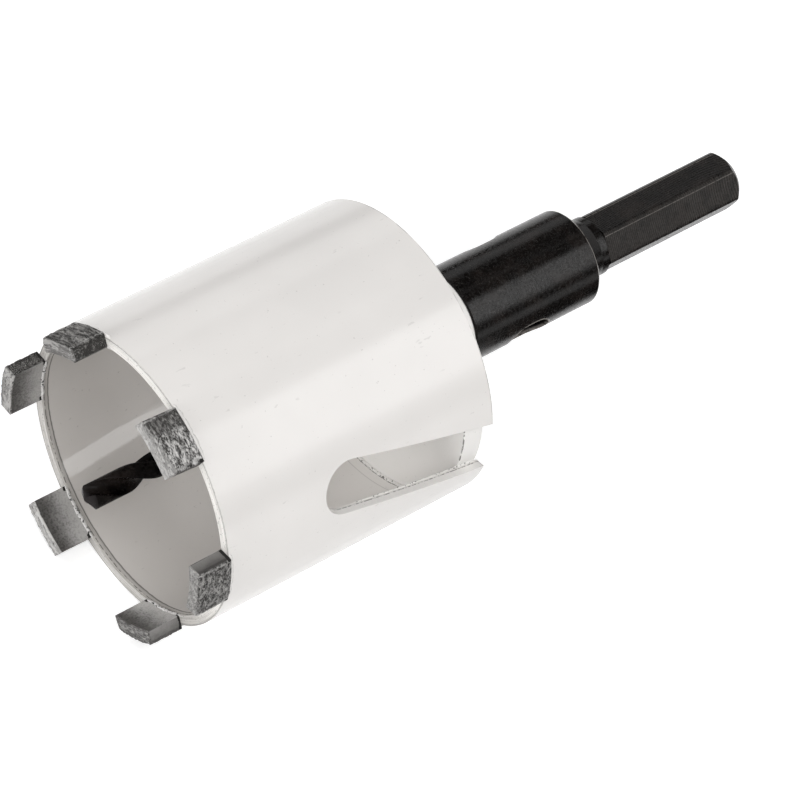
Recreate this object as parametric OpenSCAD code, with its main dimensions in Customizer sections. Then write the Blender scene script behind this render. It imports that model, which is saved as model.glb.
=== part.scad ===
// Dry diamond core bit: a ring of diamond segments on a thin steel barrel,
// a back plate with a threaded hub, an arbor with a hexagonal shank, and a
// fluted pilot drill held in the arbor by a taper.
// Every piece is drawn about the bit's own axis, with the barrel's front rim
// at height 0 and the shank upwards. The last modules lay the bit on its side.

/* [Barrel] */
// Outer diameter of the barrel
barrel_d = 66; // [50:0.5:120]
// Wall thickness of the barrel
barrel_wall = 2.3; // [1.5:0.1:3.5]
// Length of the barrel from its front rim to its rear rim
barrel_l = 67.5; // [55:0.5:120]

/* [Window in the barrel] */
// Width of the window, which is also the diameter of its round front end
win_w = 12.5; // [6:0.5:16]
// Distance from the front rim to the front end of the window
win_front = 24.5; // [15:0.5:35]
// Lean of the window against the barrel's axis
win_slant = 14; // [-20:1:20]
// Angle round the barrel at which the middle of the window lies
win_turn = 230.5; // [0:0.5:359.5]

/* [Segments] */
// Distance that the segments stand out past the barrel's outside
seg_side = 1; // [0.5:0.1:2]
// Height of a segment in front of the barrel's rim
seg_h = 8; // [4:0.5:12]
// Thickness of a segment, from its inner to its outer face
seg_t = 3.3; // [3:0.1:6]
// Width of a segment between its two flat ends
seg_w = 12; // [6:0.5:24]
// Depth of the bevel along the outer cutting edge of a segment
seg_bevel = 0.4; // [0.1:0.1:1]

/* [Back plate and hub] */
// Thickness of the back plate
plate_t = 5; // [3:0.5:10]
// Depth of the plate's rear face inside the rear rim
plate_recess = 0.5; // [0.5:0.5:6]
// Gap between the plate and the barrel's bore, before welding
weld_gap = 0.05; // [0.02:0.01:0.2]
// Bevel round both faces of the plate
plate_bevel = 0.2; // [0.1:0.1:1.5]
// Diameter of the hub behind the plate, turned in one piece with it
hub_d = 22.2; // [20:0.1:30]
// Length of the hub behind the plate
hub_l = 14.5; // [5:0.5:25]
// Bevel round the hub's end
hub_bevel = 0.4; // [0.1:0.1:1]

/* [Arbor] */
// Nominal diameter of the arbor's thread
thread_d = 16; // [14:1:18]
// Gap between the thread's crest and the hole in the hub
thread_gap = 0.1; // [0.05:0.01:0.3]
// Length of thread that shows in front of the plate
spigot_out = 2; // [1:0.5:10]
// Diameter of the arbor's collar
collar_d = 21.7; // [20:0.1:30]
// Length of the arbor's collar
collar_l = 34.5; // [30:0.5:80]
// Break of the collar's two edges
collar_break = 0.5; // [0.2:0.1:1]
// Turn of the arbor about the axis: the angle of a flat of its shank
arbor_turn = 25; // [0:1:59]

/* [Neck and shank] */
// Diameter of the neck where it leaves the collar
neck_d = 15.2; // [14:0.1:18]
// Length of the neck between the collar and the shank
neck_l = 6.5; // [5:0.5:12]
// Length of the neck's plain end in front of the shank
neck_land = 2.2; // [1.5:0.1:3]
// Diameter at the bottom of the fine groove where the shank starts
groove_d = 11.8; // [9:0.1:12]
// Width of the groove
groove_w = 0.4; // [0.3:0.1:1.2]
// Width of the hexagonal shank across its flats
hex_af = 12; // [10:0.1:13]
// Diameter to which the shank's corners are turned down
hex_corner_d = 13.4; // [13.1:0.1:15]
// Length of the hexagonal shank
hex_l = 38.5; // [25:0.5:60]
// Diameter of the shank's flat end inside its chamfer
hex_end_d = 10.6; // [8:0.1:11]

/* [Drift slot in the collar] */
// Width of the slot through which the drill is driven out
drift_w = 8.2; // [6:0.1:10]
// Length of the slot along the axis
drift_l = 10.8; // [10:0.1:16]
// Distance from the collar's front face to the middle of the slot
drift_z = 16; // [12:0.5:20]

/* [Pilot drill] */
// Diameter of the drill
drill_d = 5.5; // [5:0.1:7]
// Distance that the drill's point stands in front of the segments
drill_reach = 3.3; // [1:0.1:12]
// Angle of the drill's point
drill_point = 130; // [118:1:150]
// Length in which a flute turns once round the drill
flute_lead = 33; // [24:1:60]
// Length of drill with flutes at full depth
flute_l = 40; // [20:1:44]
// Length over which the flutes run out
flute_end_l = 8; // [4:0.5:10]
// Angle at which the flutes start at the point
flute_turn = 122; // [0:1:179]
// Diameter of the drill's core between its flutes
web_d = 1.6; // [1.2:0.1:2]
// Share of the drill's outline that one flute takes
flute_angle = 92; // [60:1:100]
// Step from the fluted length down to the plain body behind it
body_step = 0.1; // [0.05:0.05:0.3]

/* [Taper of the drill] */
// Diameter of the tapered socket at its mouth
taper_d = 8.6; // [7.5:0.1:9.5]
// Length over which the taper's diameter falls by one
taper_ratio = 26; // [20:1:40]
// Length of taper left in front of the socket's mouth
taper_proud = 2; // [1:0.5:4]
// Length of the drill's tail that stands in the drift slot
tail_in_slot = 1.6; // [0.5:0.1:3]
// Gap between the drill's taper and its socket
taper_gap = 0.02; // [0.01:0.01:0.05]

/* [Hidden] */
$fn = 96;
seg_count = 6;
// Turn by which each segment, set and welded by hand, is off its even place
seg_off = [0, 0.9, -0.6, -1.7, -3.7, 0.7];

// Extra length by which a cutting shape passes through what it cuts
over = 1;

barrel_r = barrel_d / 2;
bore_r = barrel_r - barrel_wall;
cut_r = barrel_r + seg_side;
seg_in_r = cut_r - seg_t;

plate_back = barrel_l - plate_recess;
plate_front = plate_back - plate_t;
plate_r = bore_r - weld_gap;
hub_r = hub_d / 2;
hub_end = plate_back + hub_l;

thread_r = thread_d / 2;
spigot_front = plate_front - spigot_out;
spigot_bevel = 1;
collar_r = collar_d / 2;
collar_end = hub_end + collar_l;
hex_start = collar_end + neck_l;
hex_end = hex_start + hex_l;
hex_corner_r = hex_corner_d / 2;

drift_mid = hub_end + drift_z;
drift_r = drift_w / 2;
drift_front = drift_mid - drift_l / 2;

drill_r = drill_d / 2;
web_r = web_d / 2;
tip = -seg_h - drill_reach;
point_h = drill_r / tan(drill_point / 2);
flute_end = tip + flute_l;
taper_front = spigot_front - taper_proud;
drill_tail = drift_front + tail_in_slot;

body_r = drill_r - body_step;
body_front = flute_end + flute_end_l;

// A flute is an arc that cuts down to the core between its two edges on the rim
flute_edge_x = drill_r * cos(flute_angle / 2);
flute_edge_y = drill_r * sin(flute_angle / 2);
flute_r = (pow(flute_edge_x - web_r, 2) + pow(flute_edge_y, 2)) / (2 * (flute_edge_x - web_r));
flute_mid = web_r + flute_r;
flute_half = atan2(flute_edge_y, flute_mid - flute_edge_x);
arc_steps = 8;
flute_step = 2;

// Lying on its side, the bit touches with its barrel and a corner of segment 1
lie_turn = asin(seg_w / 2 / cut_r) + acos(barrel_r / cut_r);
mid_z = (tip + hex_end) / 2;

// Radius of the socket's wall at a height on the axis
function taper_r(z) = (taper_d - (z - spigot_front) / taper_ratio) / 2;

module barrel_tube() {
    color("whitesmoke")
    difference() {
        cylinder(r = barrel_r, h = barrel_l);
        translate([0, 0, -over]) cylinder(r = bore_r, h = barrel_l + 2 * over);
        window_cutter();
    }
}

// A slanting slot with a round front end, open at the rear rim
module window_cutter() {
    mid = (win_front + barrel_l) / 2;
    front = win_front + win_w / 2;
    depth = barrel_r + over;
    rotate([0, 0, win_turn])
    translate([0, (front - mid) * tan(win_slant), front])
    rotate([-win_slant, 0, 0]) {
        rotate([0, 90, 0]) cylinder(d = win_w, h = depth);
        translate([0, -win_w / 2, 0]) cube([depth, win_w, barrel_l]);
    }
}

// A disc in the barrel's rear end, with its threaded hub behind it
module back_plate() {
    color("gainsboro")
    difference() {
        rotate_extrude() polygon([
            [0, plate_front],
            [plate_r - plate_bevel, plate_front],
            [plate_r, plate_front + plate_bevel],
            [plate_r, plate_back - plate_bevel],
            [plate_r - plate_bevel, plate_back],
            [hub_r, plate_back],
            [hub_r, hub_end - hub_bevel],
            [hub_r - hub_bevel, hub_end],
            [0, hub_end]
        ]);
        translate([0, 0, plate_front - over])
            cylinder(r = thread_r + thread_gap, h = plate_t + hub_l + 2 * over);
    }
}

// A block of the ring with parallel ends, seated on the barrel's front rim
module segment(number) {
    turn = (number - 1) * 360 / seg_count + seg_off[number - 1];
    color("dimgray")
    rotate([0, 0, turn])
    intersection() {
        rotate_extrude() polygon([
            [seg_in_r, -seg_h],
            [cut_r - seg_bevel, -seg_h],
            [cut_r, -seg_h + seg_bevel],
            [cut_r, 0],
            [seg_in_r, 0]
        ]);
        translate([0, -seg_w / 2, -seg_h - over]) cube([cut_r + over, seg_w, seg_h + 2 * over]);
    }
}

module arbor() {
    color("#1c1b1a")
    rotate([0, 0, arbor_turn])
    difference() {
        union() {
            arbor_body();
            hex_shank();
        }
        drift_slot();
        taper_socket();
    }
}

// The turned outline: threaded spigot, collar and the neck, which narrows to
// the corners of the shank and ends in a fine groove
module arbor_body() {
    neck_r = neck_d / 2;
    land = hex_corner_r;
    rotate_extrude() polygon([
        [0, spigot_front],
        [thread_r - spigot_bevel, spigot_front],
        [thread_r, spigot_front + spigot_bevel],
        [thread_r, hub_end],
        [collar_r - collar_break, hub_end],
        [collar_r, hub_end + collar_break],
        [collar_r, collar_end - collar_break],
        [collar_r - collar_break, collar_end],
        [neck_r, collar_end],
        [land, hex_start - neck_land],
        [land, hex_start - groove_w],
        [groove_d / 2, hex_start - groove_w / 2],
        [groove_d / 2, hex_start + over],
        [0, hex_start + over]
    ]);
}

// A hexagonal bar with its corners turned down and its end chamfered
module hex_shank() {
    intersection() {
        translate([0, 0, hex_start]) rotate([0, 0, 30])
            cylinder(r = hex_af / 2 / cos(30), h = hex_l, $fn = 6);
        rotate_extrude() polygon([
            [0, hex_start],
            [hex_corner_r, hex_start],
            [hex_corner_r, hex_end - hex_corner_r + hex_end_d / 2],
            [hex_end_d / 2, hex_end],
            [0, hex_end]
        ]);
    }
}

// A slot with round ends, through the collar from side to side
module drift_slot() {
    half = drift_l / 2 - drift_r;
    depth = collar_d + 2 * over;
    rotate([0, 0, 60])
    translate([-depth / 2, 0, drift_mid])
    rotate([0, 90, 0]) {
        for (side = [-1, 1]) translate([side * half, 0, 0]) cylinder(r = drift_r, h = depth);
        translate([-half, -drift_r, 0]) cube([2 * half, drift_w, depth]);
    }
}

// The socket narrows from the spigot's face to the middle of the drift slot
module taper_socket() {
    front = spigot_front - over;
    translate([0, 0, front])
        cylinder(r1 = taper_r(front), r2 = taper_r(drift_mid), h = drift_mid - front);
}

module pilot_drill() {
    color("#151413") {
        drill_flutes();
        drill_shank();
    }
}

// Two right-hand flutes from the point, cut to the point's cone
module drill_flutes() {
    length = body_front + over - tip;
    intersection() {
        translate([0, 0, tip]) rotate([0, 0, flute_turn])
            linear_extrude(height = length, twist = -360 * length / flute_lead,
                           slices = ceil(length / flute_step), $fn = 24)
                drill_section();
        rotate_extrude() polygon([
            [0, tip],
            [2 * drill_r, tip + 2 * point_h],
            [2 * drill_r, body_front + 2 * over],
            [0, body_front + 2 * over]
        ]);
    }
}

// Two lands on the drill's circle with the two hollow flutes between them
module drill_section() {
    turns = [for (i = [0:arc_steps]) 2 * i / arc_steps - 1];
    flute = [for (t = turns) [flute_mid - flute_r * cos(flute_half * t), flute_r * sin(flute_half * t)]];
    land_half = 90 - flute_angle / 2;
    land_turns = [for (i = [1:arc_steps - 1]) 90 + land_half * (2 * i / arc_steps - 1)];
    land = [for (t = land_turns) [drill_r * cos(t), drill_r * sin(t)]];
    half = concat(flute, land);
    polygon(concat(half, -half));
}

// The core grows where the flutes run out, then the body and its taper
module drill_shank() {
    front_r = taper_r(taper_front) - taper_gap;
    rotate_extrude() polygon([
        [0, flute_end],
        [web_r, flute_end],
        [body_r, body_front],
        [body_r, taper_front - front_r + body_r],
        [front_r, taper_front],
        [taper_r(drill_tail) - taper_gap, drill_tail],
        [0, drill_tail]
    ]);
}

// Turns the axis level, with the shank towards +X, and sets the barrel on z = 0
module laid() {
    translate([-mid_z, 0, barrel_r]) rotate([lie_turn, 0, 0]) rotate([0, 90, 0]) children();
}

laid() barrel_tube();
laid() back_plate();
laid() segment(1);  // segment_1
laid() segment(2);  // segment_2
laid() segment(3);  // segment_3
laid() segment(4);  // segment_4
laid() segment(5);  // segment_5
laid() segment(6);  // segment_6
laid() arbor();
laid() pilot_drill();
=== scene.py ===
import math
from collections import namedtuple

import bmesh
import bpy
import numpy as np
from mathutils import Matrix, Vector, noise


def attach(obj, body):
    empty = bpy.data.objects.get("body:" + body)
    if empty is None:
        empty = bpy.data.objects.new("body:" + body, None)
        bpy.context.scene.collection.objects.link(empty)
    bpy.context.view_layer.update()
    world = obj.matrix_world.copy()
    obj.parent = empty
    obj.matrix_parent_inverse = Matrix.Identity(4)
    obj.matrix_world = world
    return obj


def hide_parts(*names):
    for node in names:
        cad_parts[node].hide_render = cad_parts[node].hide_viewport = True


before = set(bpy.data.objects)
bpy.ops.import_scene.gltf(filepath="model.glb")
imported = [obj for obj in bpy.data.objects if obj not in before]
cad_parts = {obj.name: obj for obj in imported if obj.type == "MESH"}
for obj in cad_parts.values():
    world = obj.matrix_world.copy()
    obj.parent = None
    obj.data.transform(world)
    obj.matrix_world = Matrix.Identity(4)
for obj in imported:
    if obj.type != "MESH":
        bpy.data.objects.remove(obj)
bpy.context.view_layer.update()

# Camera, at the photograph's viewing angle. Its place is given in millimetres
# from the middle of the bit's front rim. TO_ROW lays any such point where the
# bit rests on the floor, on its barrel and two neighbouring segments.

CUT_R = 34.0
BARREL_R = 33.0
SEG_W = 12.0
DRILL_TIP = -11.3
SHANK_END = 161.0
AXIS_MID = (SHANK_END + DRILL_TIP) / 2
LIE_TURN = math.asin(SEG_W / 2 / CUT_R) + math.acos(BARREL_R / CUT_R)
LAY = Matrix.Rotation(LIE_TURN, 4, "X") @ Matrix.Rotation(math.pi / 2, 4, "Y")
TO_ROW = Matrix.Translation((-AXIS_MID / 1000, 0, BARREL_R / 1000)) @ LAY @ Matrix.Scale(0.001, 4)
EYE = (746.904, 10.949, -348.853)
VIEW_TILT = math.radians(118.8916)
VIEW_ROLL = math.radians(152.85605)
NEAR_TURN = math.radians(182)

camera_data = bpy.data.cameras.new("camera")
camera = bpy.data.objects.new("camera", camera_data)
bpy.context.scene.collection.objects.link(camera)
camera_data.sensor_width = 36
camera_data.lens = 184.0
camera_data.clip_start = 0.05
camera_data.clip_end = 20
aim = Matrix.Rotation(VIEW_TILT, 4, "Y") @ Matrix.Rotation(VIEW_ROLL, 4, "Z")
stand = TO_ROW @ Matrix.Rotation(NEAR_TURN, 4, "Z") @ Matrix.Translation(EYE) @ aim
camera.rotation_mode = "QUATERNION"
camera.location, camera.rotation_quaternion, _ = stand.decompose()
bpy.context.scene.camera = camera

# Stage: a white world and a white floor, which look plain white to the camera
# and in reflections and light the bit at a softer level. Six softboxes light
# it, and black cards that the camera doesn't see edge its reflections.

WORLD_LIGHT = 0.36
FLOOR_LIFT = 0.45
FLOOR_REACH = 8
LAMP_DISTANCE = 1.3
CARD_DISTANCE = 1.25
CARD_HALF = 0.3
SKIRT_R = 2
SKIRT_H = 0.46
SKIRT_SIDES = 72
CORNERS = ((-1, -1), (1, -1), (1, 1), (-1, 1))

scene = bpy.context.scene
scene.view_settings.view_transform = "Standard"


def put(tree, kind, inputs=None, **settings):
    """Adds a node. An input that is given a socket is linked to it, and any other is set."""
    made = tree.nodes.new(kind)
    for name, value in settings.items():
        setattr(made, name, value)
    for name, value in (inputs or {}).items():
        if isinstance(value, bpy.types.NodeSocket):
            tree.links.new(value, made.inputs[name])
        else:
            made.inputs[name].default_value = value
    return made


def maths(tree, operation, a, b=0.0, c=0.0):
    """The result of one Math node."""
    return put(tree, "ShaderNodeMath", {0: a, 1: b, 2: c}, operation=operation).outputs[0]


def empty_tree(made):
    """The node tree of a world or a material, with nothing in it."""
    made.use_nodes = True
    made.node_tree.nodes.clear()
    return made.node_tree


def seen_directly(tree):
    """1 for what the camera, a reflection or glass shows, and 0 for what only lights the bit."""
    path = put(tree, "ShaderNodeLightPath")
    shown = maths(tree, "MAXIMUM", path.outputs["Is Camera Ray"], path.outputs["Is Glossy Ray"])
    return maths(tree, "MAXIMUM", shown, path.outputs["Is Transmission Ray"])


world = bpy.data.worlds.new("studio")
scene.world = world
tree = empty_tree(world)
level = put(tree, "ShaderNodeMapRange", {
    "Value": seen_directly(tree), "To Min": WORLD_LIGHT, "To Max": 1.0})
sky = put(tree, "ShaderNodeBackground", {"Color": (1, 1, 1, 1), "Strength": level.outputs["Result"]})
put(tree, "ShaderNodeOutputWorld", {"Surface": sky.outputs[0]})


def facing(made, toward, distance):
    """Stands a lamp or card off the bit, with its own x axis across the bit's length."""
    out = Vector(toward).normalized()
    across = Vector((1, 0, 0)).cross(out).normalized()
    axes = Matrix((across, out.cross(across), out)).transposed()
    made.matrix_world = Matrix.Translation(out * distance) @ axes.to_4x4()


def softbox(name, toward, across, along, radiance):
    """A softbox that looks at the bit, with its two sides in metres."""
    data = bpy.data.lights.new(name, "AREA")
    data.shape = "RECTANGLE"
    data.size = across
    data.size_y = along
    data.energy = radiance * math.pi * across * along
    lamp = bpy.data.objects.new(name, data)
    scene.collection.objects.link(lamp)
    facing(lamp, toward, LAMP_DISTANCE)


softbox("softbox_strip", (0.48, -0.60, 0.64), 0.95, 0.33, 3.1)
softbox("softbox_top", (-0.25, 0.74, 0.62), 0.9, 0.9, 2.3)
softbox("softbox_front", (-0.52, -0.39, 0.76), 0.34, 0.34, 7.4)
softbox("softbox_window", (-0.20, -0.43, 0.88), 0.34, 0.34, 7.0)
softbox("softbox_mouth", (-0.975, -0.06, 0.22), 0.6, 0.6, 5.0)
softbox("softbox_near", (-0.15, -0.95, 0.28), 0.8, 0.9, 0.75)

card_mat = bpy.data.materials.new("card_black")
tree = empty_tree(card_mat)
felt = put(tree, "ShaderNodeBsdfDiffuse", {"Color": (0.03, 0.03, 0.03, 1)})
put(tree, "ShaderNodeOutputMaterial", {"Surface": felt.outputs[0]})


def card(name, points, faces):
    """A black card that the camera doesn't see."""
    mesh = bpy.data.meshes.new(name)
    mesh.from_pydata(points, [], faces)
    mesh.materials.append(card_mat)
    made = bpy.data.objects.new(name, mesh)
    scene.collection.objects.link(made)
    made.visible_camera = False
    return made


for name, half, toward in (
        ("card_above", 0.22, (0.48, -0.09, 0.87)),
        ("card_top", 0.40, (0.48, 0.42, 0.77))):
    points = [(x * half, y * CARD_HALF, 0) for x, y in CORNERS]
    facing(card(name, points, [(0, 1, 2, 3)]), toward, CARD_DISTANCE)

# A sheet close above the floor beside the shank, which only reflections show.
points = [(x, y, 0.001) for x, y in ((0.030, -0.026), (0.062, -0.115), (0.2, -0.115), (0.2, -0.026))]
sheet = card("card_floor", points, [(0, 1, 2, 3)])
sheet.visible_shadow = False
sheet.visible_diffuse = False

turns = [2 * math.pi * k / SKIRT_SIDES for k in range(SKIRT_SIDES)]
points = [(SKIRT_R * math.cos(t), SKIRT_R * math.sin(t), z) for z in (0.0, SKIRT_H) for t in turns]
sides = [(k, (k + 1) % SKIRT_SIDES) for k in range(SKIRT_SIDES)]
card("card_skirt", points, [(a, b, SKIRT_SIDES + b, SKIRT_SIDES + a) for a, b in sides])

floor_mesh = bpy.data.meshes.new("floor")
floor_mesh.from_pydata([(x * FLOOR_REACH, y * FLOOR_REACH, 0) for x, y in CORNERS], [], [(0, 1, 2, 3)])
floor = bpy.data.objects.new("floor", floor_mesh)
scene.collection.objects.link(floor)
floor_mat = bpy.data.materials.new("floor_white")
tree = empty_tree(floor_mat)
chalk = put(tree, "ShaderNodeBsdfDiffuse", {"Color": (0.85, 0.85, 0.85, 1)})
glow = put(tree, "ShaderNodeEmission", {"Strength": maths(tree, "MULTIPLY", seen_directly(tree), FLOOR_LIFT)})
lit = put(tree, "ShaderNodeAddShader", {0: chalk.outputs[0], 1: glow.outputs[0]})
put(tree, "ShaderNodeOutputMaterial", {"Surface": lit.outputs[0]})
floor_mesh.materials.append(floor_mat)

# Barrel: a seamed steel tube under a thick, warm white coat. Its rims are
# ground bare, and a slanting window for ejecting a core runs out of its rear.

BORE_R = 30.7
BARREL_L = 67.5
WIN_W = 12.5
WIN_FRONT = 24.5
WIN_SLANT = math.radians(14)
WIN_TURN = 230.5
ARC_POINTS = 25
RUN_POINTS = 31
FRONT_ROWS = 20
COLUMNS = 260
EDGE_ROUND = 0.28
BARE_DEPTH = 1.35
PLATE_FRONT = 62.0
TURN_START = 210


def round_axis(radius, turn, along):
    """Points of the bit, in millimetres, from radius, turn in degrees and height."""
    radius, turn, along = np.broadcast_arrays(radius, np.radians(turn), along)
    return np.stack([radius * np.cos(turn), radius * np.sin(turn), along], axis=-1).astype(float)


def group_start(name, inputs, outputs):
    """An empty node group with named sockets, and its two end nodes."""
    tree = bpy.data.node_groups.new(name, "ShaderNodeTree")
    kinds = {"F": "NodeSocketFloat", "V": "NodeSocketVector", "C": "NodeSocketColor"}
    for label, kind in inputs:
        tree.interface.new_socket(label, in_out="INPUT", socket_type=kinds[kind])
    for label, kind in outputs:
        tree.interface.new_socket(label, in_out="OUTPUT", socket_type=kinds[kind])
    return tree, put(tree, "NodeGroupInput").outputs, put(tree, "NodeGroupOutput").inputs


def effect(tree, name, **values):
    """A placed node group, with its inputs given by name. An underscore stands for a space."""
    inputs = {label.replace("_", " "): value for label, value in values.items()}
    return put(tree, "ShaderNodeGroup", inputs, node_tree=bpy.data.node_groups[name]).outputs


def mix(tree, share, low, high, blend="MIX"):
    """A colour mixed from two by a mask."""
    inputs = {0: share, 6: low, 7: high}
    return put(tree, "ShaderNodeMix", inputs, data_type="RGBA", blend_type=blend).outputs[2]


def ramp(tree, value, low, high, to_low=0.0, to_high=1.0):
    """A smooth step from to_low at low to to_high at high."""
    made = put(tree, "ShaderNodeMapRange", interpolation_type="SMOOTHSTEP", inputs={
        "Value": value, "From Min": low, "From Max": high, "To Min": to_low, "To Max": to_high})
    return made.outputs["Result"]


def cloud(tree, where, scale, detail=3.0, rough=0.55):
    """Smooth noise from 0 to 1."""
    inputs = {"Vector": where, "Scale": scale, "Detail": detail, "Roughness": rough}
    return put(tree, "ShaderNodeTexNoise", inputs).outputs["Fac"]


def product(tree, first, *others):
    """The product of several values. Of masks, it is what all of them cover."""
    for other in others:
        first = maths(tree, "MULTIPLY", first, other)
    return first


def greatest(tree, first, *others):
    """The greatest of several values. Of masks, it is what any of them covers."""
    for other in others:
        first = maths(tree, "MAXIMUM", first, other)
    return first


def distance(tree, a, b):
    """The length of a line that goes a one way and b square to it."""
    squares = maths(tree, "ADD", product(tree, a, a), product(tree, b, b))
    return maths(tree, "SQRT", squares)


def color(r, g, b):
    """A colour from its picture values, 0 to 255."""
    picture = [v / 255 for v in (r, g, b)]
    return (*[v / 12.92 if v <= 0.04045 else ((v + 0.055) / 1.055) ** 2.4 for v in picture], 1.0)


# bit_coordinates: place in millimetres, distance from the axis, height along it,
# and the turn in degrees from TURN_START, which lies on the side that faces the
# viewer. The turn grows downwards in the picture.
tree, _, given = group_start(
    "bit_coordinates", [], [("Place", "V"), ("Radius", "F"), ("Turn", "F"), ("Along", "F")])
point = put(tree, "ShaderNodeTexCoord").outputs["Object"]
laid_back = put(tree, "ShaderNodeMapping", {
    "Vector": point, "Location": (-AXIS_MID / 1000, 0, BARREL_R / 1000),
    "Rotation": LAY.to_euler(), "Scale": (0.001, 0.001, 0.001)}, vector_type="TEXTURE").outputs[0]
turned = put(tree, "ShaderNodeVectorRotate", {
    "Vector": laid_back, "Angle": -math.radians(TURN_START)}, rotation_type="Z_AXIS")
parts = put(tree, "ShaderNodeSeparateXYZ", {0: turned.outputs[0]}).outputs
tree.links.new(laid_back, given["Place"])
tree.links.new(distance(tree, parts["X"], parts["Y"]), given["Radius"])
tree.links.new(maths(tree, "DEGREES", maths(tree, "ARCTAN2", parts["Y"], parts["X"])), given["Turn"])
tree.links.new(parts["Z"], given["Along"])

# line_mask: 1 where a value is within half a width of a middle, and soft beyond.
tree, taken, given = group_start(
    "line_mask", [("Value", "F"), ("Middle", "F"), ("Half width", "F"), ("Softness", "F")], [("Mask", "F")])
away = maths(tree, "ABSOLUTE", maths(tree, "SUBTRACT", taken["Value"], taken["Middle"]))
outer = maths(tree, "ADD", taken["Half width"], taken["Softness"])
tree.links.new(ramp(tree, away, taken["Half width"], outer, 1.0, 0.0), given["Mask"])


def line_at(tree, value, middle, half, soft):
    """A placed line_mask."""
    return effect(tree, "line_mask", Value=value, Middle=middle, Half_width=half, Softness=soft)["Mask"]


# speckle: sparse small spots, such as pits, dust or nicks, about 1 / Scale mm wide.
tree, taken, given = group_start("speckle", [("Place", "V"), ("Scale", "F"), ("Share", "F")], [("Mask", "F")])
edge = maths(tree, "SUBTRACT", 0.78, maths(tree, "MULTIPLY", taken["Share"], 0.4))
fine = cloud(tree, taken["Place"], taken["Scale"], 2.0, 0.5)
tree.links.new(ramp(tree, fine, edge, maths(tree, "ADD", edge, 0.05)), given["Mask"])


def specks(tree, place, scale, share):
    """A placed speckle."""
    return effect(tree, "speckle", Place=place, Scale=scale, Share=share)["Mask"]


# paint_coat: thick sprayed paint, faintly clouded, with a few specks and smears.
tree, taken, given = group_start(
    "paint_coat", [("Place", "V"), ("Color", "C"), ("Specks", "F")], [("Color", "C"), ("Height", "F")])
shade = ramp(tree, cloud(tree, taken["Place"], 0.05, 2.0), 0.3, 0.7, 0.965, 1.0)
shade = put(tree, "ShaderNodeCombineColor", {0: shade, 1: shade, 2: shade}).outputs[0]
base = mix(tree, 1.0, taken["Color"], shade, "MULTIPLY")
drawn_out = put(tree, "ShaderNodeVectorMath", {0: taken["Place"], 1: (1.0, 1.0, 0.35)}, operation="MULTIPLY")
smears = specks(tree, drawn_out.outputs[0], 0.9, taken["Specks"])
region = ramp(tree, cloud(tree, taken["Place"], 0.11, 1.0), 0.52, 0.62)
pins = specks(tree, taken["Place"], 1.5, 0.18)
marks = greatest(tree, product(tree, smears, region, 0.16), product(tree, pins, 0.26))
tree.links.new(mix(tree, marks, base, color(128, 124, 120)), given["Color"])
tree.links.new(cloud(tree, taken["Place"], 0.8, 2.0), given["Height"])


def material(name, rough, specular):
    """A Principled material, its node tree, its shader's inputs and the bit's coordinates."""
    made = bpy.data.materials.new(name)
    made.use_nodes = True
    shader = made.node_tree.nodes["Principled BSDF"].inputs
    shader["Roughness"].default_value = rough
    shader["Specular IOR Level"].default_value = specular
    return made, made.node_tree, shader, effect(made.node_tree, "bit_coordinates")


def relief(tree, height, depth):
    """The normal of a surface whose height, from 0 to 1, is depth millimetres deep."""
    return put(tree, "ShaderNodeBump", {"Height": height, "Distance": depth / 1000}).outputs[0]


def piece(name, points, faces, finish):
    """A mesh piece from points in the bit's own millimetres. It rides with the body."""
    mesh = bpy.data.meshes.new(name)
    laid = np.array(TO_ROW)
    placed = np.asarray(points, dtype=float).reshape(-1, 3) @ laid[:3, :3].T + laid[:3, 3]
    mesh.from_pydata(placed.tolist(), [], [tuple(int(i) for i in face) for face in faces])
    work = bmesh.new()
    work.from_mesh(mesh)
    bmesh.ops.remove_doubles(work, verts=work.verts, dist=2e-6)
    bmesh.ops.recalc_face_normals(work, faces=work.faces)
    work.to_mesh(mesh)
    work.free()
    mesh.polygons.foreach_set("use_smooth", [True] * len(mesh.polygons))
    mesh.materials.append(finish)
    made = bpy.data.objects.new(name, mesh)
    scene.collection.objects.link(made)
    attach(made, "root")
    return made


def grid_faces(rows, columns, first=0):
    """Four-sided faces over a grid of points that is stored row by row."""
    i, j = np.meshgrid(np.arange(rows - 1), np.arange(columns - 1), indexing="ij")
    a = first + (i * columns + j).ravel()
    return np.stack([a, a + 1, a + columns + 1, a + columns], axis=1).tolist()


def window_edges():
    """Both edges of the window, from the same point at its front end to the rear rim, as y and z."""
    middle = (WIN_FRONT + BARREL_L) / 2
    radius = WIN_W / 2
    z0 = WIN_FRONT + radius
    y0 = (z0 - middle) * math.tan(WIN_SLANT)
    sides = []
    for start, end in ((-90, -math.degrees(WIN_SLANT)), (-90, -180 - math.degrees(WIN_SLANT))):
        arc = np.radians(np.linspace(start, end, ARC_POINTS))
        y = y0 + radius * np.cos(arc)
        z = z0 + radius * np.sin(arc)
        run = np.linspace(0, 1, RUN_POINTS)[1:] * (BARREL_L - z[-1])
        sides.append((np.append(y, y[-1] + run * math.tan(WIN_SLANT)), np.append(z, z[-1] + run)))
    return sides


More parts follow.
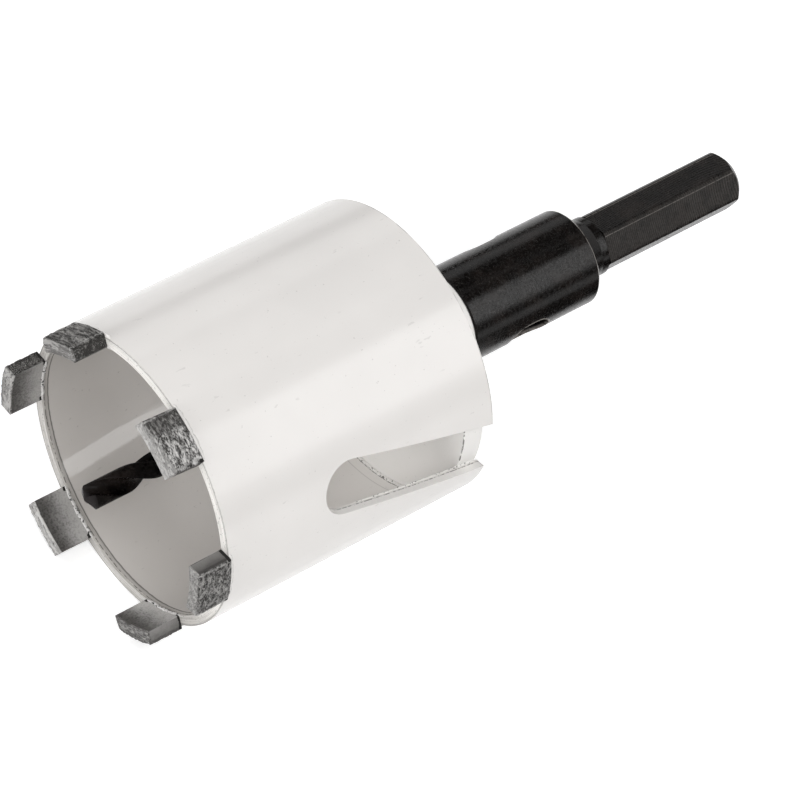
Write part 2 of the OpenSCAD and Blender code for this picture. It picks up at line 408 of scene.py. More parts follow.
# Two skins, each a grid that goes round from the window's right edge to its left.
(right_y, right_z), (left_y, left_z) = window_edges()
rise = np.linspace(0, right_z[0], FRONT_ROWS + 1)[:-1]
right_y = np.append(np.full(FRONT_ROWS, right_y[0]), right_y)
left_y = np.append(np.full(FRONT_ROWS, left_y[0]), left_y)
right_z = np.append(rise, right_z)
left_z = np.append(rise, left_z)
share = np.linspace(0, 1, COLUMNS)[None, :]
height = right_z[:, None] + share * (left_z - right_z)[:, None]
skins = []
for wall in (BARREL_R, BORE_R):
    start = np.degrees(np.arcsin(right_y / wall))[:, None]
    end = 360 + np.degrees(np.arcsin(left_y / wall))[:, None]
    skins.append(round_axis(wall, WIN_TURN + start + share * (end - start), height).reshape(-1, 3))

rows = len(right_z)
count = rows * COLUMNS
last = (rows - 1) * COLUMNS
faces = grid_faces(rows, COLUMNS) + grid_faces(rows, COLUMNS, count)
for j in range(COLUMNS - 1):
    faces.append((j, j + 1, count + j + 1, count + j))
    faces.append((last + j, last + j + 1, count + last + j + 1, count + last + j))
for i in range(FRONT_ROWS, rows - 1):
    for j in (0, COLUMNS - 1):
        a, b = i * COLUMNS + j, (i + 1) * COLUMNS + j
        faces.append((a, b, count + b, count + a))

barrel_paint, tree, shader, bit = material("barrel_paint", 0.2, specular=0.38)
place = bit["Place"]
radius = bit["Radius"]
along = bit["Along"]
wavy = maths(tree, "ADD", along, product(tree, cloud(tree, place, 0.5), 0.35))
dotted = ramp(tree, cloud(tree, place, 1.3), 0.42, 0.56)
broken = ramp(tree, dotted, 0.0, 1.0, 0.10, 0.70)

# The bore, the cut faces of the window, and the steel that was left bare.
inside = ramp(tree, radius, BORE_R + 0.5, BORE_R + 0.3)
past_bore = ramp(tree, radius, BORE_R + 0.5, BORE_R + 0.8)
in_wall = product(tree, past_bore, ramp(tree, radius, BARREL_R - 0.05, BARREL_R - 0.15))
cut = product(tree, in_wall, ramp(tree, along, 20.0, 21.0), ramp(tree, along, BARREL_L - 0.3, BARREL_L - 0.5))
bare_front = ramp(tree, along, 0.16, 0.06)
bare_bore = product(tree, inside, ramp(tree, wavy, BARE_DEPTH + 0.2, BARE_DEPTH + 0.1))
bare = greatest(tree, bare_bore, bare_front)

# In the bore the coat is painted greyer towards the mouth, as painted shade.
bore_coat_painted_shade = mix(tree, ramp(tree, along, 4.0, 44.0), color(202, 198, 194), color(247, 244, 241))
# The window's cut faces are painted whiter, as painted light.
outer_coat_lit_cuts = mix(tree, cut, color(236, 233, 230), color(252, 250, 247))
coat = mix(tree, inside, outer_coat_lit_cuts, bore_coat_painted_shade)
paint = effect(tree, "paint_coat", Place=place, Color=coat, Specks=0.25)

# Bare steel is brushed round the axis. On the rim it is painted darker on the side turned away from the
# viewer and lighter on the near side, as painted shade and painted light.
brush_place = put(tree, "ShaderNodeCombineXYZ", {
    "X": maths(tree, "MULTIPLY", bit["Turn"], 0.06),
    "Y": maths(tree, "MULTIPLY", along, 5.0),
    "Z": maths(tree, "MULTIPLY", radius, 5.0)}).outputs[0]
brushed = ramp(tree, cloud(tree, brush_place, 1.0, 4.0), 0.35, 0.65)
from_far = maths(tree, "WRAP", maths(tree, "SUBTRACT", bit["Turn"], 152.0), 180.0, -180.0)
near_rim_painted_light = mix(tree, brushed, color(216, 213, 208), color(246, 243, 239))
far_rim_painted_shade = mix(tree, brushed, color(172, 168, 163), color(214, 211, 207))
bore_steel = mix(tree, brushed, color(166, 162, 158), color(190, 186, 182))
rim_steel = mix(tree, line_at(tree, from_far, 0.0, 82.0, 26.0), near_rim_painted_light, far_rim_painted_shade)
bright = greatest(tree, bare_front, product(tree, inside, ramp(tree, wavy, 0.78, 0.66)))
steel = mix(tree, bright, bore_steel, rim_steel)

# Dark lines: where the paint ends, on both rims, round the plate and in the window.
paint_end = product(tree, line_at(tree, wavy, BARE_DEPTH + 0.27, 0.06, 0.20), inside, 0.80)
bore_line = product(tree, line_at(tree, wavy, 0.74, 0.05, 0.13), inside, dotted, 0.85)
ragged = maths(tree, "SUBTRACT", radius, product(tree, cloud(tree, place, 0.9), 0.3))
rim_line = line_at(tree, ragged, BARREL_R - 0.32, 0.06, 0.20)
rim_line = product(tree, greatest(tree, rim_line, specks(tree, place, 1.8, 0.40)), bare_front, 0.55)
seam = line_at(tree, wavy, PLATE_FRONT - 0.42, 0.05, 0.13)
seam = product(tree, seam, inside, ramp(tree, dotted, 0.0, 1.0, 0.25, 0.75))
turned_line = product(tree, line_at(tree, along, PLATE_FRONT - 2.8, 0.05, 0.12), inside, 0.22)
rear_edge = ramp(tree, radius, BARREL_R - 0.35, BARREL_R - 0.20)
rear_edge = product(tree, rear_edge, ramp(tree, cloud(tree, place, 0.3), 0.4, 0.6))
rear_line = product(tree, line_at(tree, along, BARREL_L - 0.12, 0.05, 0.12), rear_edge, 0.35)
cut_line = product(
    tree, line_at(tree, radius, BORE_R + 0.65, 0.06, 0.14), ramp(tree, along, 26.0, 30.0), broken)
lines = greatest(tree, rear_line, cut_line, paint_end, rim_line, bore_line, seam, turned_line)

coated = mix(tree, bare, paint["Color"], steel)
gloss = ramp(tree, radius, BORE_R + 0.3, BORE_R + 0.5, 0.04, 0.19)
tree.links.new(mix(tree, lines, coated, color(92, 90, 87)), shader["Base Color"])
tree.links.new(relief(tree, paint["Height"], 0.010), shader["Normal"])
tree.links.new(greatest(tree, gloss, product(tree, bare, 0.4)), shader["Roughness"])

barrel = piece("barrel_shell", np.concatenate(skins), faces, barrel_paint)
rounding = barrel.modifiers.new("rounded_edges", "BEVEL")
rounding.width = EDGE_ROUND / 1000
rounding.segments = 3
rounding.limit_method = "ANGLE"
rounding.angle_limit = math.radians(50)
barrel.modifiers.new("even_shading", "WEIGHTED_NORMAL").keep_sharp = True
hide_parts("barrel_tube")

# Back plate with its threaded hub: one turned steel piece, painted white after
# the plate was welded into the barrel's rear end. A lumpy bead fills the joint.

PLATE_WHITE = color(244, 242, 239)
WELD_SINK = 0.12
WELD_GAP_TURN = 0.4

plate_paint, tree, shader, bit = material("plate_paint", 0.25, specular=0.38)
paint = effect(tree, "paint_coat", Place=bit["Place"], Color=PLATE_WHITE, Specks=0.2)
dotted = ramp(tree, cloud(tree, bit["Place"], 1.1), 0.44, 0.58)
near_bore = ramp(tree, bit["Radius"], BORE_R - 0.5, BORE_R - 0.2)
front_edge = line_at(tree, bit["Along"], PLATE_FRONT + 0.07, 0.05, 0.09)
front_edge = product(tree, front_edge, near_bore, dotted, 0.85)
tree.links.new(mix(tree, front_edge, paint["Color"], color(58, 55, 52)), shader["Base Color"])
tree.links.new(relief(tree, paint["Height"], 0.010), shader["Normal"])
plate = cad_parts["back_plate"]
plate.data.materials.clear()
plate.data.materials.append(plate_paint)


def tube_faces(rings, around):
    """Faces of a tube through rings of points, closed at both ends."""
    faces = []
    for i in range(rings - 1):
        for k in range(around):
            n = (k + 1) % around
            faces.append((i * around + k, i * around + n, (i + 1) * around + n, (i + 1) * around + k))
    faces.append(tuple(range(around)))
    faces.append(tuple(range((rings - 1) * around, rings * around)))
    return faces


def bead(name, path, size, finish, seed, lumps, around=10, pitch=0.9):
    """A lumpy round bead along a path, thinner at both ends."""
    path = np.asarray(path, dtype=float)
    ahead = np.gradient(path, axis=0)
    ahead /= np.linalg.norm(ahead, axis=1)[:, None]
    never_along = np.array([0.31, 0.17, 0.93])
    side = np.cross(ahead, never_along)
    side /= np.linalg.norm(side, axis=1)[:, None]
    over = np.cross(ahead, side)
    run = np.linspace(0, 1, len(path))
    taper = np.sqrt(np.clip(1 - np.abs(2 * run - 1) ** 6, 0.02, 1))
    points = []
    for k in range(around):
        t = 2 * math.pi * k / around
        out = math.cos(t) * side + math.sin(t) * over
        swell = [1 + lumps * noise.noise(Vector(p) * pitch + Vector((seed, 0.4 * k, 0))) for p in path]
        points.append(path + out * (size * taper * np.array(swell))[:, None])
    points = np.stack(points, axis=1).reshape(-1, 3)
    return piece(name, points, tube_faces(len(path), around), finish)


def edge_turn(side_y, side_z, height):
    """Turn of one of the window's edges in the bore, at a height."""
    return WIN_TURN + np.degrees(np.arcsin(np.interp(height, side_z, side_y) / BORE_R))


weld_paint, tree, shader, bit = material("weld_paint", 0.30, specular=0.38)
paint = effect(tree, "paint_coat", Place=bit["Place"], Color=PLATE_WHITE, Specks=0.2)
pinholes = product(tree, specks(tree, bit["Place"], 1.4, 0.50), 0.8)
height = maths(tree, "SUBTRACT", cloud(tree, bit["Place"], 1.2), pinholes)
tree.links.new(mix(tree, pinholes, paint["Color"], color(70, 66, 62)), shader["Base Color"])
tree.links.new(relief(tree, height, 0.10), shader["Normal"])

start = edge_turn(right_y, right_z, PLATE_FRONT) + WELD_GAP_TURN
end = edge_turn(left_y, left_z, PLATE_FRONT) + 360 - WELD_GAP_TURN
ring = round_axis(BORE_R - WELD_SINK, np.linspace(start, end, 420), PLATE_FRONT - WELD_SINK)
weld = bead("plate_weld", ring, 0.40, weld_paint, 3.0, lumps=0.35, around=8)
for name, side_y, side_z, low, high, size in (
        ("weld_lower", right_y, right_z, 33.0, 66.9, 0.17),
        ("weld_lip", right_y, right_z, 60.5, 66.8, 0.42),
        ("weld_upper", left_y, left_z, 61.2, 66.9, 0.30)):
    z = np.linspace(low, high, int((high - low) * 6))
    line = round_axis(BORE_R + 0.05, edge_turn(side_y, side_z, z), z)
    bead(name, line, size, weld_paint, low, lumps=0.8, around=8, pitch=1.1)

# Segments: blocks of sintered metal and diamond grit, brazed on the rim.
# Their outer faces are torn in streaks by use, and their ends smoothly ground.

SEG_H = 8.0
SEG_IN = 30.7
SEG_TURNS = [0, 60.9, 119.4, 178.3, 236.3, 300.7]
DEGREE_MM = 0.58

# grit_face: broken metal. Dark streaks and pits lie in a lighter grey, with a
# few bright grains. Place is stretched before it comes in, so streaks run one way.
tree, taken, given = group_start("grit_face", [
    ("Place", "V"), ("Light", "C"), ("Dark", "C"), ("Streaks", "F"), ("Pits", "F"), ("Grains", "F")],
    [("Color", "C"), ("Height", "F")])
broad = cloud(tree, taken["Place"], 0.75, rough=0.65)
fine = cloud(tree, taken["Place"], 2.1, rough=0.65)
tone = maths(tree, "ADD", product(tree, broad, 0.55), product(tree, fine, 0.45))
patch = product(tree, maths(tree, "SUBTRACT", cloud(tree, taken["Place"], 0.30, 1.0), 0.5), 0.22)
streak = product(tree, ramp(tree, maths(tree, "ADD", tone, patch), 0.545, 0.415), taken["Streaks"])
deep = greatest(tree, streak, specks(tree, taken["Place"], 1.6, taken["Pits"]))
high = product(tree, ramp(tree, tone, 0.50, 0.68), taken["Streaks"], 0.34)
base = mix(tree, high, taken["Light"], color(215, 213, 208))
base = mix(tree, deep, base, taken["Dark"])
grains = product(tree, specks(tree, taken["Place"], 3.2, taken["Grains"]), 0.6)
tree.links.new(mix(tree, grains, base, color(228, 227, 223)), given["Color"])
tree.links.new(maths(tree, "SUBTRACT", tone, product(tree, deep, 0.6)), given["Height"])


def grey(value):
    """A slightly warm grey from one picture value."""
    return color(value + 1, value - 1, value - 3)


def segment_finish(turn, look):
    """The sintered metal of one segment. Each face has its own light and dark grey."""
    made, tree, shader, bit = material("diamond_matrix_" + look.name[-1], 0.60, specular=0.30)
    place = bit["Place"]
    radius = bit["Radius"]
    along = bit["Along"]
    swing = maths(tree, "WRAP", maths(tree, "SUBTRACT", bit["Turn"], turn - TURN_START), 180.0, -180.0)
    across = product(tree, swing, DEGREE_MM)

    wander = put(tree, "ShaderNodeTexNoise", {"Vector": place, "Scale": 0.6, "Detail": 3.0}).outputs["Color"]
    wander = put(tree, "ShaderNodeVectorMath", {0: wander, "Scale": 0.9}, operation="SCALE").outputs[0]
    stretched = put(tree, "ShaderNodeCombineXYZ", {
        "X": maths(tree, "ADD", product(tree, across, look.stretch), turn * 0.37),
        "Y": product(tree, along, look.fine),
        "Z": product(tree, radius, look.fine)}).outputs[0]
    bent = put(tree, "ShaderNodeVectorMath", {0: stretched, 1: wander}, operation="ADD").outputs[0]

    worn_back = product(tree, maths(tree, "ADD", across, SEG_W / 2), look.wear / SEG_W)
    to_end = greatest(tree, maths(tree, "ADD", across, look.trim), product(tree, across, -1.0))
    is_outer = ramp(tree, radius, BARREL_R + 0.05, BARREL_R + 0.25)
    is_front = ramp(tree, maths(tree, "SUBTRACT", along, worn_back), 0.5 - SEG_H, 0.3 - SEG_H)
    is_inner = ramp(tree, radius, SEG_IN + 0.28, SEG_IN + 0.14)
    is_end = ramp(tree, to_end, SEG_W / 2 - 0.45, SEG_W / 2 - 0.25)

    dark, first_light, second_light = look.outer
    patchy = maths(tree, "ADD", across, product(tree, cloud(tree, place, 0.4), 3.0))
    change = ramp(tree, patchy, look.change_at - 0.6, look.change_at + 3.4)
    light = mix(tree, change, grey(first_light), grey(second_light))
    torn = effect(tree, "grit_face", Place=bent, Light=light, Dark=grey(dark),
                  Streaks=1.0, Pits=0.45, Grains=0.30)

    dark, light, streaks = look.front
    front = effect(tree, "grit_face", Place=bent, Light=grey(light), Dark=grey(dark),
                   Streaks=streaks, Pits=0.42, Grains=0.25)

    # The bore face is painted darker towards the front and lighter at the root, as painted shade, and its
    # pits thin out towards the root.
    rising = maths(tree, "ADD", along, product(tree, cloud(tree, place, 0.22), 4.0))
    root = ramp(tree, rising, -5.5, 1.8)
    holes = ramp(tree, cloud(tree, place, 2.4, 4.0), 0.42, 0.66)
    holes = product(tree, holes, maths(tree, "SUBTRACT", 0.65, product(tree, root, 0.45)))
    bore = mix(tree, holes, mix(tree, root, grey(look.bore[0]), grey(look.bore[1])), grey(40))

    outer_grey, inner_grey, rough = look.end
    inward = maths(tree, "ADD", radius, product(tree, cloud(tree, place, 0.5), 1.6))
    ground = mix(tree, ramp(tree, inward, 34.4, 31.4), grey(outer_grey), grey(inner_grey))
    end = effect(tree, "grit_face", Place=bent, Light=ground, Dark=grey(38),
                 Streaks=rough, Pits=rough * 0.5, Grains=rough * 0.4)

    below_edge = 1.0 if look.wear else ramp(tree, radius, CUT_R - 0.15, CUT_R - 0.45)
    tone = mix(tree, is_outer, end["Color"], torn["Color"])
    ground_end = product(tree, is_end, ramp(tree, radius, CUT_R - 0.15, CUT_R - 0.35))
    tone = mix(tree, ground_end, tone, end["Color"])
    tone = mix(tree, is_inner, tone, bore)
    tone = mix(tree, product(tree, is_front, below_edge), tone, front["Color"])
    rubbed = product(tree, line_at(tree, to_end, SEG_W / 2 - 0.55, 0.08, 0.25), is_outer)
    rubbed = product(tree, rubbed, ramp(tree, cloud(tree, place, 1.1), 0.35, 0.55, 0.0, 0.6))
    tone = mix(tree, rubbed, tone, grey(205))
    burnt = ramp(tree, maths(tree, "ABSOLUTE", across), SEG_W / 2 - 1.3, SEG_W / 2 - 0.2)
    burnt = product(tree, burnt, ramp(tree, along, -1.5, -0.3))
    burnt = product(tree, burnt, maths(tree, "ADD", cloud(tree, place, 0.9), 0.10))
    tone = mix(tree, ramp(tree, burnt, 0.40, 0.52), tone, grey(22))
    tree.links.new(tone, shader["Base Color"])

    carved = greatest(tree, is_outer, product(tree, is_front, 0.6), 0.10 + 0.5 * rough)
    uneven = maths(tree, "SUBTRACT", 1.0, product(tree, is_inner, 0.85))
    tree.links.new(relief(tree, product(tree, torn["Height"], carved, uneven), 0.40), shader["Normal"])
    return made


def block_surface(n_across, n_deep, n_high):
    """Points on a box from -1 to 1 each way, and its faces, with shared edges merged later."""
    points, faces = [], []
    for axis, sizes in ((0, (n_deep, n_high)), (1, (n_across, n_high)), (2, (n_across, n_deep))):
        for sign in (-1, 1):
            u, v = np.meshgrid(np.linspace(-1, 1, sizes[0]), np.linspace(-1, 1, sizes[1]), indexing="ij")
            spots = [u.ravel(), v.ravel()]
            spots.insert(axis, np.full(u.size, float(sign)))
            faces += grid_faces(sizes[0], sizes[1], sum(len(p) for p in points))
            points.append(np.stack(spots, axis=1))
    return np.concatenate(points), faces


def worn_block(points, seed, look):
    """Turns box points into a segment: rounded and chipped at its edges, torn on its outer face."""
    half = np.array([SEG_W / 2, (CUT_R - SEG_IN) / 2, SEG_H / 2])
    at = points * half
    at[:, 0] -= look.trim * (at[:, 0] + half[0]) / SEG_W
    edge = np.empty(len(at))
    tear = np.empty(len(at))
    for i, (x, y, z) in enumerate(at):
        spot = Vector((x + seed, y, z))
        edge[i] = 0.5 + 0.8 * noise.noise(spot * 0.55) + 0.9 * noise.noise(spot * 1.5)
        streak = Vector((x * 0.42 + seed, y * 0.5, z * 1.3))
        tear[i] = noise.noise(streak) + 0.55 * noise.noise(streak * 2.3)

    # The rounding of the edges grows outwards and to the front, and stays small at the root.
    outward = (at[:, 1] + half[1]) / (2 * half[1])
    ahead = np.clip(-at[:, 2] / half[2], 0, 1)
    chipped = np.clip(edge, 0, 1.3) * np.clip(outward * 1.6 - 0.5, 0.12, 1) * (0.35 + 0.65 * ahead)
    radius = np.where(at[:, 2] > half[2] - 1.0, 0.08, 0.10 + look.chip * chipped)[:, None]
    high = np.repeat(half[None, :], len(at), axis=0)
    high[:, 0] -= look.trim
    core = np.clip(at, -half + radius, high - radius)
    away = at - core
    at = core + away / np.maximum(np.linalg.norm(away, axis=1)[:, None], 1e-9) * radius

    # The outer face is torn, its near front corner may be worn back, and the block may lean.
    is_outer = np.clip((points[:, 1] - 0.98) * 50, 0, 1)
    at[:, 1] -= is_outer * look.dig * np.clip(0.28 - tear, 0, 0.9)
    back = look.wear * (at[:, 0] + half[0]) / SEG_W
    at[:, 1] = np.minimum(at[:, 1], half[1] - 0.45 * np.clip(back - half[2] - at[:, 2], 0, None))
    at[:, 0] += look.skew * (at[:, 2] + half[2])
    return at


# How each segment is worn and shaded. outer: a dark and two light greys of its outer face,
# where the second begins change_at millimetres across. front: dark, light and
# share of streaks. bore: grey at the front and at the root, a painted shade that
# darkens towards the front. end: grey outside and inside, and roughness. chip and
# dig: millimetres lost at edges and in tears. stretch and fine: how drawn out and
# how close the streaks are. wear, trim and skew: how far a corner is worn back,
# one end is shorter, and the block leans.
Look = namedtuple("Look", "name outer front bore end chip dig stretch fine change_at wear trim skew",
                  defaults=(9.0, 0, 0, 0))
WORN_LOOKS = [
    Look("segment_1", outer=(50, 120, 120), front=(78, 200, 0.5), bore=(80, 178), end=(140, 150, 0.2),
         chip=0.65, dig=0.35, stretch=0.6, fine=1.5),
    Look("segment_2", outer=(50, 120, 120), front=(62, 180, 0.6), bore=(88, 178), end=(76, 92, 1.0),
         chip=0.50, dig=0.32, stretch=0.6, fine=1.5),
    Look("segment_3", outer=(40, 118, 118), front=(70, 160, 0.8), bore=(90, 150), end=(58, 56, 0.8),
         chip=0.70, dig=0.50, stretch=0.24, fine=1.5, trim=0.95),
    Look("segment_4", outer=(66, 104, 214), front=(110, 196, 0.40), bore=(90, 150), end=(112, 84, 0.8),
         chip=1.15, dig=0.55, stretch=0.85, fine=2.0, change_at=-1.8, wear=1.3, skew=0.05),
    Look("segment_5", outer=(44, 146, 146), front=(74, 170, 0.6), bore=(90, 150), end=(78, 124, 0.0),
         chip=0.60, dig=0.34, stretch=1.1, fine=1.9),
    Look("segment_6", outer=(52, 112, 112), front=(58, 130, 0.8), bore=(80, 196), end=(104, 146, 0.1),
         chip=0.55, dig=0.25, stretch=0.5, fine=1.5),
]
box_points, box_faces = block_surface(64, 20, 44)
for number, look in enumerate(WORN_LOOKS):
    finish = segment_finish(SEG_TURNS[number], look)
    at = worn_block(box_points, 7.3 * number + 2, look)
    out = at[:, 1] + (CUT_R + SEG_IN) / 2
    turn = SEG_TURNS[number] + np.degrees(np.arcsin(at[:, 0] / out))
    block = piece(look.name + "_block", round_axis(out, turn, at[:, 2] - SEG_H / 2), box_faces, finish)
    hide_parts(look.name)

# Braze: the filler that holds each segment stands as a pitted, light bead
# along its inner root, and under the paint as a smooth one along its outside.

BRAZE_OVER = 0.3

braze, tree, shader, bit = material("braze_filler", 0.45, specular=0.5)
holes = specks(tree, bit["Place"], 2.0, 0.52)
tone = mix(tree, cloud(tree, bit["Place"], 0.9), grey(178), grey(236))
height = maths(tree, "SUBTRACT", cloud(tree, bit["Place"], 1.2), holes)
tree.links.new(mix(tree, holes, tone, grey(22)), shader["Base Color"])
tree.links.new(relief(tree, height, 0.2), shader["Normal"])
x = np.linspace(-SEG_W / 2 - BRAZE_OVER, SEG_W / 2 + BRAZE_OVER, 44)
for number, turn in enumerate(SEG_TURNS):
    for part, out, height, size, finish in (
            ("inner", BORE_R + 0.10, 0.10, 0.40, braze),
            ("outer", BARREL_R + 0.02, 0.42, 0.52, barrel_paint)):
        name = "braze_%s_%d" % (part, number + 1)
        line = round_axis(out, turn + np.degrees(np.arcsin(x / out)), height)
        made = bead(name, line, size, finish, 5.1 * number + out, lumps=0.7, pitch=0.8)

# Arbor: one turned and milled steel piece, blackened in hot oxide. Its satin
# skin shows fine tool marks, bright worn edges and a little pale dust.

COLLAR_R = 10.85
COLLAR_END = 116.0
HEX_START = 122.5
HEX_CORNER_R = 6.7
HEX_CORNER_TURN = 31.7
LIT_FACET_TURN = -6.0
ARBOR_TURN = 25.0
DRIFT_MID = 97.5
DRIFT_R = 4.1
DRIFT_HALF = 1.3
MILL_CENTRE = (14.0, 6.0, 176.0)
MILL_PITCH = 0.47

# oxide_skin: blackened steel with grain, dust and lighter worn edges.
tree, taken, given = group_start("oxide_skin", [
    ("Place", "V"), ("Worn", "F"), ("Dust", "F"), ("Base", "C"), ("Edge", "C")],
    [("Color", "C"), ("Roughness", "F"), ("Height", "F")])
grain = cloud(tree, taken["Place"], 1.7, 4.0, 0.70)
stain = ramp(tree, cloud(tree, taken["Place"], 0.22), 0.40, 0.75, 0.0, 0.45)
base = mix(tree, stain, taken["Base"], color(42, 36, 33))
dust = product(tree, specks(tree, taken["Place"], 2.6, taken["Dust"]), 0.16)
base = mix(tree, dust, base, color(120, 116, 112))
ragged = product(tree, taken["Worn"], ramp(tree, cloud(tree, taken["Place"], 0.9), 0.28, 0.50))
tree.links.new(mix(tree, ragged, base, taken["Edge"]), given["Color"])
tree.links.new(ramp(tree, grain, 0.35, 0.65, 0.10, 0.32), given["Roughness"])
tree.links.new(grain, given["Height"])

black_oxide, tree, shader, bit = material("black_oxide", 0.3, specular=0.22)
place = bit["Place"]
radius = bit["Radius"]
along = bit["Along"]
on_hex = ramp(tree, along, HEX_START - 0.1, HEX_START + 0.1)

# Worn edges: round the drift slot, on the collar's rear rim and on the hexagon's corners.
beside = put(tree, "ShaderNodeVectorRotate", {
    "Vector": place, "Angle": -math.radians(ARBOR_TURN + 60)}, rotation_type="Z_AXIS").outputs[0]
beside = put(tree, "ShaderNodeSeparateXYZ", {0: beside}).outputs["Y"]
past = maths(tree, "ABSOLUTE", maths(tree, "SUBTRACT", along, DRIFT_MID))
past = greatest(tree, maths(tree, "SUBTRACT", past, DRIFT_HALF), 0.0)
slot_gap = maths(tree, "SUBTRACT", distance(tree, past, beside), DRIFT_R)
slot_lip = line_at(tree, slot_gap, 0.12, 0.10, 0.16)
slot_lip = product(tree, slot_lip, ramp(tree, radius, COLLAR_R - 1.45, COLLAR_R - 1.05))
collar_rim = line_at(tree, along, COLLAR_END - 0.42, 0.08, 0.14)
to_corner = maths(tree, "WRAP", maths(tree, "SUBTRACT", bit["Turn"], HEX_CORNER_TURN), 30.0, -30.0)
corner = line_at(tree, to_corner, 0.0, 0.5, 0.7)
corner = product(tree, corner, ramp(tree, radius, HEX_CORNER_R - 0.20, HEX_CORNER_R - 0.12), on_hex)
worn = greatest(tree, slot_lip, collar_rim, corner)

# A face mill left curved lines across the hexagon. The facet that the lamp lights is painted lighter, with
# its lines stronger, as painted light.
sweep = put(tree, "ShaderNodeVectorMath", {0: place, 1: MILL_CENTRE}, operation="DISTANCE").outputs["Value"]
milled = product(tree, maths(tree, "SINE", product(tree, sweep, 2 * math.pi / MILL_PITCH)), 0.5)
lit_facet_paint = line_at(tree, bit["Turn"], LIT_FACET_TURN, 29.0, 1.5)
mill_lines_and_highlight = product(
    tree, ramp(tree, milled, -0.3, 0.5), ramp(tree, cloud(tree, place, 0.35, 2.0), 0.30, 0.60),
    maths(tree, "ADD", 0.20, product(tree, lit_facet_paint, 0.80)))
hex_black_and_lit_facet = mix(tree, lit_facet_paint, color(12, 10, 9), color(27, 25, 23))
hex_black_and_lit_facet = mix(tree, mill_lines_and_highlight, hex_black_and_lit_facet, color(58, 54, 51))
blacked = mix(tree, on_hex, color(13, 11, 10), hex_black_and_lit_facet)
skin = effect(tree, "oxide_skin", Place=place, Worn=worn, Dust=0.30, Base=blacked, Edge=color(132, 127, 122))

# Inside the drift slot, and on faces within the collar's radius ahead of its rear end, the colour is painted
# near black, as painted shade.
inside_shade = ramp(tree, radius, COLLAR_R - 0.25, COLLAR_R - 0.85)
inside_shade = product(tree, inside_shade, ramp(tree, along, COLLAR_END - 3.0, COLLAR_END - 3.5))
tool_place = put(tree, "ShaderNodeVectorMath", {0: place, 1: (0.35, 0.35, 5.0)}, operation="MULTIPLY")
turned = product(tree, cloud(tree, tool_place.outputs[0], 1.0), 1.4)
height = maths(tree, "ADD", skin["Height"], mix(tree, on_hex, turned, milled))
tree.links.new(mix(tree, inside_shade, skin["Color"], color(5, 4, 4)), shader["Base Color"])
tree.links.new(maths(tree, "ADD", skin["Roughness"], product(tree, on_hex, 0.05)), shader["Roughness"])
tree.links.new(relief(tree, height, 0.02), shader["Normal"])
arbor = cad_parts["arbor"]
arbor.data.materials.clear()
arbor.data.materials.append(black_oxide)

# Pilot drill: a two-flute drill with a blunt roof point, hardened and black.
# Its flutes are one section turned about the axis, which closes on a taper.

DRILL_R = 2.75
WEB_R = 0.8
BODY_R = 2.65
LAND_EDGE = math.radians(46)
POINT_SLOPE = math.tan(math.radians(65))
POINT_FLAT_R = 0.02
CLOSE_RINGS_L = 1.6
FLUTE_LEAD = 33.0
FLUTE_TURN = math.radians(122)
FLUTE_END = 28.7
FLUTE_RUN = 8.0
FLUTED_L = FLUTE_END + FLUTE_RUN - DRILL_TIP
TAPER_D = 8.6
TAPER_RATIO = 26
TAPER_FRONT = 58.0
TAPER_GAP = 0.02
SPIGOT_FRONT = 60.0
DRILL_TAIL = 93.7
TAIL_BEVEL = 0.3


def taper_r(z):
    """Radius of the taper at a height."""
    return (TAPER_D - (z - SPIGOT_FRONT) / TAPER_RATIO) / 2 - TAPER_GAP


def drill_outline(steps):
    """The fluted section: two round flutes and two lands, with the lands' ends kept sharp."""
    x, y = DRILL_R * math.cos(LAND_EDGE), DRILL_R * math.sin(LAND_EDGE)
    r = ((x - WEB_R) ** 2 + y ** 2) / (2 * (x - WEB_R))
    middle = WEB_R + r
    half = math.atan2(y, middle - x)
    flute = [(middle - r * math.cos(half * t), r * math.sin(half * t)) for t in np.linspace(-1, 1, steps)]
    land_turns = np.linspace(LAND_EDGE, math.pi - LAND_EDGE, steps)[1:-1]
    one = flute + [(DRILL_R * math.cos(t), DRILL_R * math.sin(t)) for t in land_turns]
    return np.array(one + [(-px, -py) for px, py in one])


def level_ring(across, up, z):
    """One ring of points at a height."""
    return np.stack([across, up, np.full(len(across), z)], axis=1)


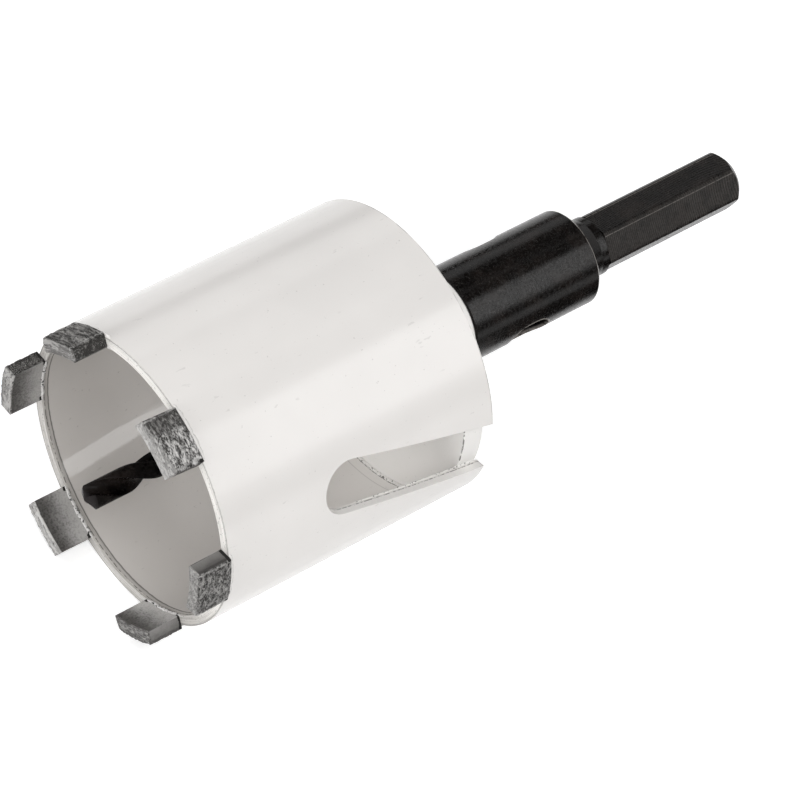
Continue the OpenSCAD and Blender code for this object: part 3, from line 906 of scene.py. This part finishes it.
outline = drill_outline(14)
out = np.hypot(outline[:, 0], outline[:, 1])
rings = []
for offset in [*np.linspace(0, CLOSE_RINGS_L, 9), *np.linspace(CLOSE_RINGS_L, FLUTED_L, 150)[1:]]:
    z = DRILL_TIP + offset
    fade = np.clip((z - FLUTE_END) / FLUTE_RUN, 0, 1)
    filled = np.maximum(out, WEB_R + (BODY_R - WEB_R) * fade)
    filled = np.minimum(filled, DRILL_R + (BODY_R - DRILL_R) * fade)
    filled = np.minimum(filled, max(offset * POINT_SLOPE, POINT_FLAT_R))
    x, y = (outline * (filled / out)[:, None]).T
    turn = FLUTE_TURN + 2 * math.pi * offset / FLUTE_LEAD
    across = x * math.cos(turn) - y * math.sin(turn)
    up = x * math.sin(turn) + y * math.cos(turn)
    rings.append(level_ring(across, up, z))
angles = np.arctan2(rings[-1][:, 1], rings[-1][:, 0])
for z, r in (
        (TAPER_FRONT - (taper_r(TAPER_FRONT) - BODY_R), BODY_R),
        (TAPER_FRONT, taper_r(TAPER_FRONT)),
        (DRILL_TAIL - TAIL_BEVEL, taper_r(DRILL_TAIL)),
        (DRILL_TAIL, taper_r(DRILL_TAIL) - TAIL_BEVEL)):
    rings.append(level_ring(r * np.cos(angles), r * np.sin(angles), z))

drill_oxide, tree, shader, bit = material("drill_oxide", 0.3, specular=0.045)
# The point is painted lighter, as a painted highlight.
point = ramp(tree, bit["Along"], DRILL_TIP + 1.9, DRILL_TIP + 0.7)
land_edge = product(tree, line_at(tree, bit["Radius"], DRILL_R - 0.05, 0.02, 0.05), 0.25)
skin = effect(tree, "oxide_skin", Place=bit["Place"], Worn=land_edge, Dust=0.1,
              Base=color(5, 4, 4), Edge=color(60, 57, 56))
tree.links.new(mix(tree, product(tree, point, 0.8), skin["Color"], color(46, 43, 43)), shader["Base Color"])
tree.links.new(skin["Roughness"], shader["Roughness"])
tree.links.new(relief(tree, skin["Height"], 0.015), shader["Normal"])
drill = piece("drill_body", np.concatenate(rings), tube_faces(len(rings), len(outline)), drill_oxide)
drill.modifiers.new("even_shading", "WEIGHTED_NORMAL").keep_sharp = True
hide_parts("pilot_drill")
